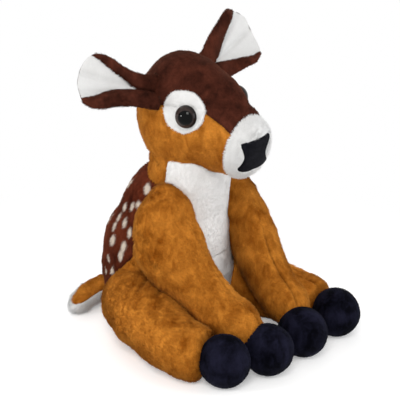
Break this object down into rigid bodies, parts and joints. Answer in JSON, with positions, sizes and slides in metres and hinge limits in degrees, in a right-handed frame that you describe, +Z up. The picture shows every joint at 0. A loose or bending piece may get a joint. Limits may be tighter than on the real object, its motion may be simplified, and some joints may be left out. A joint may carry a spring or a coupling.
{
  "type": "plush deer",
  "caption": "Stuffed deer fawn toy sitting with its legs stretched forward: plush panels over fibre stuffing, cupped ears, domed plastic eyes, round velour hooves, spotted back and short tail.",
  "frame": {"origin": "centre of the flat of the seat, on the floor plane the toy sits on", "axes": "+Z up; -Y is the way the deer faces; +X is the deer's own left"},
  "size_m": [0.2152, 0.2606, 0.2961],
  "materials": {
    "tan_plush": "short soft pile, matt",
    "chocolate_plush": "short soft pile, matt, with pale spots",
    "dark_brown_plush": "short soft pile, matt",
    "white_plush": "short soft pile, matt",
    "hoof_velour": "very short velour, slight sheen",
    "nose_cloth": "smooth satin weave",
    "eye_plastic": "polished",
    "washer_plastic": "plain moulded",
    "fibre_stuffing": "loose fibre"
  },
  "bodies": {
    "body": {"neck_panel": "tan_plush", "back_panel": "chocolate_plush", "chest_bib": "white_plush", "belly_panel": "white_plush", "seat_panel": "tan_plush", "flank_panel_right": "tan_plush", "flank_panel_left": "tan_plush", "body_stuffing": "fibre_stuffing"},
    "head": {"crown_panel": "dark_brown_plush", "cheek_panel_right": "tan_plush", "cheek_panel_left": "tan_plush", "muzzle_panel": "white_plush", "head_stuffing": "fibre_stuffing", "eye_patch_right": "white_plush", "eye_patch_left": "white_plush", "eye_right": "eye_plastic", "eye_left": "eye_plastic", "eye_washer_right": "washer_plastic", "eye_washer_left": "washer_plastic", "nose": "nose_cloth"},
    "ear_right": {"ear_outer_right": "dark_brown_plush", "ear_lining_right": "white_plush"},
    "ear_left": {"ear_outer_left": "dark_brown_plush", "ear_lining_left": "white_plush"},
    "front_leg_right": {"front_leg_outer_right": "tan_plush", "front_leg_inner_right": "tan_plush", "front_leg_stuffing_right": "fibre_stuffing", "front_leg_hoof_right": "hoof_velour"},
    "front_leg_left": {"front_leg_outer_left": "tan_plush", "front_leg_inner_left": "tan_plush", "front_leg_stuffing_left": "fibre_stuffing", "front_leg_hoof_left": "hoof_velour"},
    "hind_leg_right": {"hind_leg_outer_right": "tan_plush", "hind_leg_inner_right": "tan_plush", "hind_leg_stuffing_right": "fibre_stuffing", "hind_leg_hoof_right": "hoof_velour"},
    "hind_leg_left": {"hind_leg_outer_left": "tan_plush", "hind_leg_inner_left": "tan_plush", "hind_leg_stuffing_left": "fibre_stuffing", "hind_leg_hoof_left": "hoof_velour"},
    "tail": {"tail_top": "tan_plush", "tail_underside": "white_plush", "tail_stuffing": "fibre_stuffing"}
  },
  "joints": [
    {"name": "head_turn", "type": "hinge", "parent": "body", "child": "head", "pos_m": [0, -0.0263, 0.15], "axis": [0, 0, 1], "range_deg": [-25, 25]},
    {"name": "ear_flex_right", "type": "hinge", "parent": "head", "child": "ear_right", "pos_m": [-0.04082, -0.025, 0.23639], "axis": [-0.3199, -0.395, -0.8612], "range_deg": [-12, 12], "stiffness_Nm_per_rad": 0.01},
    {"name": "ear_flex_left", "type": "hinge", "parent": "head", "child": "ear_left", "pos_m": [0.02482, -0.025, 0.24329], "axis": [-0.492, 0.395, 0.7758], "range_deg": [-12, 12], "stiffness_Nm_per_rad": 0.01},
    {"name": "front_leg_raise_right", "type": "hinge", "parent": "body", "child": "front_leg_right", "pos_m": [-0.042, -0.022, 0.152], "axis": [-1, 0, 0], "range_deg": [0, 35]},
    {"name": "front_leg_raise_left", "type": "hinge", "parent": "body", "child": "front_leg_left", "pos_m": [0.042, -0.022, 0.152], "axis": [-1, 0, 0], "range_deg": [0, 35]},
    {"name": "hind_leg_splay_right", "type": "hinge", "parent": "body", "child": "hind_leg_right", "pos_m": [-0.044, 0.016, 0], "axis": [0, 0, -1], "range_deg": [0, 18]},
    {"name": "hind_leg_splay_left", "type": "hinge", "parent": "body", "child": "hind_leg_left", "pos_m": [0.044, 0.016, 0], "axis": [0, 0, 1], "range_deg": [0, 18]},
    {"name": "tail_lift", "type": "hinge", "parent": "body", "child": "tail", "pos_m": [0, 0.052, 0.024], "axis": [0, 1, 0], "range_deg": [0, 20], "stiffness_Nm_per_rad": 0.02}
  ]
}
